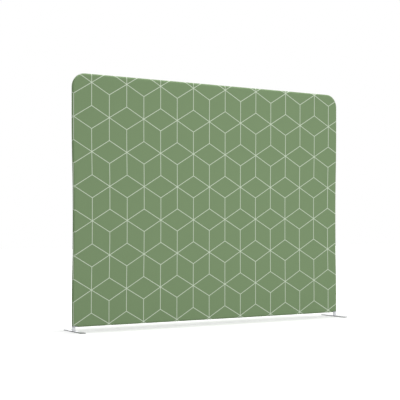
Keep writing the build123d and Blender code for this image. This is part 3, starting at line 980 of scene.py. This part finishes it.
class DIVIDER_OT_stitching(bpy.types.Operator):
    """Stitch the cloth's folded edges to the zip tapes"""

    bl_idname = "divider.stitching"
    bl_label = "Stitching along the zip"

    def execute(self, context):
        material = thread_material(context.scene.divider_colours)
        stitch, step, margin = 3 * mm, 4 * mm, 8 * mm
        for name, height in (("stitching_lower", zip_low_z), ("stitching_upper", zip_high_z)):
            deselect_all()
            bpy.ops.mesh.primitive_cylinder_add(
                vertices=6, radius=0.5, depth=1, rotation=(0, math.pi / 2, 0)
            )
            piece = new_primitive(name)
            apply_place(piece)
            piece.scale = (stitch, 0.45 * mm, 0.5 * mm)
            piece.location = (-hem_end_x + margin, cover_radius + 0.55 * mm, height)
            apply_place(piece)
            self.sink_ends(piece, -hem_end_x + margin, stitch)
            repeat(piece, int((2 * hem_end_x - 2 * margin) / step), step)
            piece.data.materials.append(material)
            smooth(piece, 70)
            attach(piece, "frame")
        return {"FINISHED"}

    def sink_ends(self, piece, middle_x, stitch):
        """Lets both ends of the stitch dive into the cloth."""
        open_in_edit(piece)
        for share in (-0.25, 0.25):
            cut((middle_x + share * stitch, 0, 0), (1, 0, 0))
        close_edit()
        for vertex in piece.data.vertices:
            if abs(vertex.co.x - middle_x) > 0.3 * stitch:
                vertex.co.y -= 0.32 * mm


class DIVIDER_OT_welds(bpy.types.Operator):
    """Lay the weld bead between each foot's plate and stub"""

    bl_idname = "divider.welds"
    bl_label = "Foot welds"

    def execute(self, context):
        material = metal_material(
            "weld_steel", linear(176, 176, 178), 0.42, (300, 300, 300), clouds=40.0, contrast=0.16
        )
        ripples, waves = 44, 5
        for side, name in ((-1, "left"), (1, "right")):
            deselect_all()
            bpy.ops.mesh.primitive_torus_add(
                location=(side * upright_x, 0, plate_top_z), major_segments=132, minor_segments=10,
                major_radius=tube_radius + 0.2 * mm, minor_radius=2 * mm,
            )
            bead = new_primitive(f"{name}_foot_weld")
            apply_place(bead)
            for vertex in bead.data.vertices:
                around = math.atan2(vertex.co.y, vertex.co.x - side * upright_x)
                ripple = 1 + 0.09 * math.cos(ripples * around) + 0.06 * math.sin(waves * around)
                vertex.co.z = plate_top_z + (vertex.co.z - plate_top_z) * ripple
            open_in_edit(bead)
            cut((0, 0, plate_top_z - 0.4 * mm), (0, 0, -1), use_fill=True, clear_outer=True)
            close_edit()
            bead.data.materials.append(material)
            smooth(bead, 60)
            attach(bead, f"{name}_foot")
        return {"FINISHED"}


class DIVIDER_OT_springs(bpy.types.Operator):
    """Split the button springs into one leaf for each button, named after it, with a steel finish of its own
    """

    bl_idname = "divider.springs"
    bl_label = "Button springs"

    def execute(self, context):
        dark = context.scene.divider_colours.dark_steel
        material = metal_material("spring_leaf", dark, 0.3, (60, 900, 60), clouds=40.0, contrast=0.12)
        springs = self.separate_springs()
        for joint in frame["record"]["behaviour"]["joints"]:
            if not joint["name"].endswith("_press"):
                continue
            low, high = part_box(joint["child"])
            button = (low + high) / 2
            spring = min(springs, key=lambda piece: (self.middle(piece) - button).length)
            springs.remove(spring)
            spring.name = joint["child"].replace("_button", "_spring")
            spring.data.materials.clear()
            spring.data.materials.append(material)
            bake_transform(spring)
            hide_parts("button_leaf_springs")
        return {"FINISHED"}

    def middle(self, piece):
        points = [vertex.co for vertex in piece.data.vertices]
        return sum(points, Vector()) / len(points)

    def separate_springs(self):
        """Copies the frame's springs, merged and split into one piece for each."""
        source = frame["nodes"]["button_leaf_springs"]
        copied = bpy.data.objects.new("spring", source.data.copy())
        bpy.context.scene.collection.objects.link(copied)
        open_in_edit(copied)
        merge_doubles()
        bpy.ops.mesh.separate(type="LOOSE")
        close_edit()
        return list(bpy.context.selected_objects)


class DIVIDER_OT_metals(bpy.types.Operator):
    """Finish the tubes, castings, sleeves, feet and small metal parts"""

    bl_idname = "divider.metals"
    bl_label = "Metal finishes"

    def execute(self, context):
        colours = context.scene.divider_colours
        alloy, dark = colours.aluminium, colours.dark_steel
        upright = metal_material("drawn_tube_upright", alloy, 0.3, (420, 420, 5))
        level = metal_material("drawn_tube_level", alloy, 0.3, (5, 420, 420))
        bent = metal_material("bent_tube", alloy, 0.33, (90, 260, 90), clouds=14.0, contrast=0.1)
        casting = metal_material("cast_skin", colours.casting, 0.48, (500, 500, 500), clouds=30.0,
                                 contrast=0.12, marks=0.2, depth=0.08 * mm)
        sleeve = metal_material("turned_sleeve", alloy, 0.24, (700, 700, 40), clouds=20.0, contrast=0.1,
                                marks=0.6)
        bright = metal_material("nickel_plate", linear(208, 206, 200), 0.16, (200, 200, 200), clouds=60.0,
                                contrast=0.05)
        rivet = metal_material("rivet_head", linear(196, 198, 200), 0.34, (300, 300, 300), clouds=60.0,
                               contrast=0.1)
        screw = metal_material("black_screw", dark, 0.4, (800, 800, 120), clouds=60.0, contrast=0.15)
        sides, nodes = ("left", "right"), list(frame["nodes"])
        repaint([f"{s}_{n}" for s in sides for n in ("lower_upright", "upper_upright")], upright)
        repaint(["centre_pole_lower", "centre_pole_upper"], upright)
        repaint([f"{s}_{n}" for s in sides for n in ("top_tube", "bottom_tube")], level)
        repaint([f"{s}_corner_bend" for s in sides], bent)
        repaint([n for n in nodes if n.endswith("_tee")], casting)
        repaint([n for n in nodes if n.endswith("_coupler")], sleeve)
        repaint([f"{s}_foot" for s in sides], foot_material(colours))
        repaint([n for n in nodes if n.endswith("_button")], bright)
        repaint(["coupler_rivets"], rivet)
        repaint(["foot_screws"], screw)
        repaint(["zip_slider", "zip_pull", "zip_end_stops"], enamel_material(colours))
        return {"FINISHED"}


class DIVIDER_OT_studio(bpy.types.Operator):
    """Set up the pale floor, the soft light and the camera"""

    bl_idname = "divider.studio"
    bl_label = "Studio"

    def execute(self, context):
        studio = context.scene.divider_studio
        self.floor(studio)
        self.world(context.scene, studio)
        lamps = (
            ("overhead_strip", studio.strip_power, (7.0, 1.0), (0, 0, 6.0), (0, 0, 0)),
            ("front_softbox", studio.key_power, (4.0, 3.0), (1.2, -6.5, 2.4), (0, 0, 1.1)),
            ("back_softbox", studio.back_power, (4.0, 3.0), (1.5, 6.5, 2.6), (0, 0, 1.2)),
        )
        for name, power, size, place, target in lamps:
            self.lamp(name, power, size, place, target)
        self.camera(context.scene, studio)
        context.scene.view_settings.view_transform = "Standard"
        return {"FINISHED"}

    def seen_directly(self, tree):
        """1 for what the camera sees, itself or in metal or glass, and 0 for the light on surfaces."""
        rays = tree.node("LightPath").outputs
        mirrored = tree.math("MAXIMUM", rays["Is Glossy Ray"], rays["Is Transmission Ray"])
        return tree.math("MAXIMUM", rays["Is Camera Ray"], mirrored)

    def floor(self, studio):
        """A wide pale floor, lifted to white where it is seen. The glow fades towards the wall, a painted
        shade round the real shadow under the wall.
        """
        seen_grey, lighting_grey = (0.8, 0.8, 0.8, 1), (0.42, 0.42, 0.42, 1)
        deselect_all()
        bpy.ops.mesh.primitive_plane_add(size=60, location=(0, 0, 0))
        floor = new_primitive("studio_floor")
        apply_place(floor)
        material = bpy.data.materials.new("studio_floor")
        material.use_nodes = True
        tree = Tree(material.node_tree)
        material.node_tree.nodes.remove(material.node_tree.nodes["Principled BSDF"])
        place = tree.split(tree.node("TexCoord").outputs["Object"])
        along = tree.math("SUBTRACT", tree.math("ABSOLUTE", place[0]), cover_high.x)
        away = tree.math("MAXIMUM", along, tree.math("ABSOLUTE", place[1]))
        # Painted shade: the glow is weaker near the wall, so the floor there renders darker even where it is
        # lit.
        lift = tree.ramp(away, 0.1 * studio.white_reach, studio.white_reach, studio.floor_lift, 1.0)
        seen = tree.node("BsdfDiffuse", {"Color": seen_grey})
        glow = tree.node("Emission", {"Color": (1, 1, 1, 1), "Strength": lift})
        lifted = tree.node("AddShader", {0: seen.outputs[0], 1: glow.outputs[0]})
        matt = tree.node("BsdfDiffuse", {"Color": lighting_grey})
        shaders = {0: self.seen_directly(tree), 1: matt.outputs[0], 2: lifted.outputs[0]}
        mix = tree.node("MixShader", shaders)
        tree.feed(material.node_tree.nodes["Material Output"].inputs, {"Surface": mix.outputs[0]})
        floor.data.materials.append(material)

    def world(self, scene, studio):
        """Even light from all round, with a white background behind it."""
        world = bpy.data.worlds.new("studio_air")
        world.use_nodes = True
        scene.world = world
        tree = Tree(world.node_tree)
        ambient = world.node_tree.nodes["Background"]
        ambient.inputs["Color"].default_value = (1, 1, 1, 1)
        towards = tree.split(tree.node("TexCoord").outputs["Generated"])
        turn = studio.ambient * studio.ambient_turn
        tree.feed(ambient.inputs, {"Strength": tree.math("MULTIPLY_ADD", towards[0], turn, studio.ambient)})
        white = tree.node("Background", {"Color": (1, 1, 1, 1), "Strength": 1.0})
        shaders = {0: self.seen_directly(tree), 1: ambient.outputs[0], 2: white.outputs[0]}
        mix = tree.node("MixShader", shaders)
        tree.feed(world.node_tree.nodes["World Output"].inputs, {"Surface": mix.outputs[0]})

    def lamp(self, name, power, size, place, target):
        light = bpy.data.lights.new(name, "AREA")
        light.shape = "RECTANGLE"
        light.size, light.size_y = size
        light.energy = power
        lamp = bpy.data.objects.new(name, light)
        bpy.context.scene.collection.objects.link(lamp)
        lamp.location = place
        lamp.rotation_euler = (Vector(target) - Vector(place)).to_track_quat("-Z", "Y").to_euler()

    def camera(self, scene, studio):
        data = bpy.data.cameras.new("photo_camera")
        data.lens = studio.lens
        data.sensor_width = 36
        data.shift_y = studio.shift
        data.clip_end = 100
        camera = bpy.data.objects.new("photo_camera", data)
        scene.collection.objects.link(camera)
        camera.location = (studio.camera_x, studio.camera_y, studio.camera_z)
        camera.rotation_euler = (math.pi / 2, 0, -studio.camera_turn)
        scene.camera = camera


OPERATORS = (
    DIVIDER_OT_shaders, DIVIDER_OT_cover, DIVIDER_OT_bindings, DIVIDER_OT_zip_tapes, DIVIDER_OT_zip_teeth,
    DIVIDER_OT_stitching, DIVIDER_OT_welds, DIVIDER_OT_springs, DIVIDER_OT_metals, DIVIDER_OT_studio,
)

PROPERTY_GROUPS = {
    "divider_cover": DividerCover, "divider_colours": DividerColours, "divider_studio": DividerStudio,
}


class DIVIDER_PT_sidebar(bpy.types.Panel):
    """Lists the steps that build the divider"""

    bl_idname = "DIVIDER_PT_sidebar"
    bl_label = "Fabric room divider"
    bl_space_type = "VIEW_3D"
    bl_region_type = "UI"
    bl_category = "Divider"

    def draw(self, context):
        for operator in OPERATORS:
            self.layout.operator(operator.bl_idname)
        for group in PROPERTY_GROUPS:
            box = self.layout.box()
            settings = getattr(context.scene, group)
            for name in settings.__annotations__:
                box.prop(settings, name)


def register():
    for group in PROPERTY_GROUPS.values():
        bpy.utils.register_class(group)
    for cls in (*OPERATORS, DIVIDER_PT_sidebar):
        bpy.utils.register_class(cls)
    for name, group in PROPERTY_GROUPS.items():
        setattr(bpy.types.Scene, name, bpy.props.PointerProperty(type=group))


def unregister():
    for name in PROPERTY_GROUPS:
        delattr(bpy.types.Scene, name)
    for cls in (DIVIDER_PT_sidebar, *reversed(OPERATORS)):
        bpy.utils.unregister_class(cls)
    for group in PROPERTY_GROUPS.values():
        bpy.utils.unregister_class(group)


def main():
    register()
    bpy.ops.divider.shaders()
    bpy.ops.divider.cover()
    bpy.ops.divider.bindings()
    bpy.ops.divider.zip_tapes()
    bpy.ops.divider.zip_teeth()
    bpy.ops.divider.stitching()
    bpy.ops.divider.welds()
    bpy.ops.divider.springs()
    bpy.ops.divider.metals()
    bpy.ops.divider.studio()


if __name__ == "__main__":
    main()
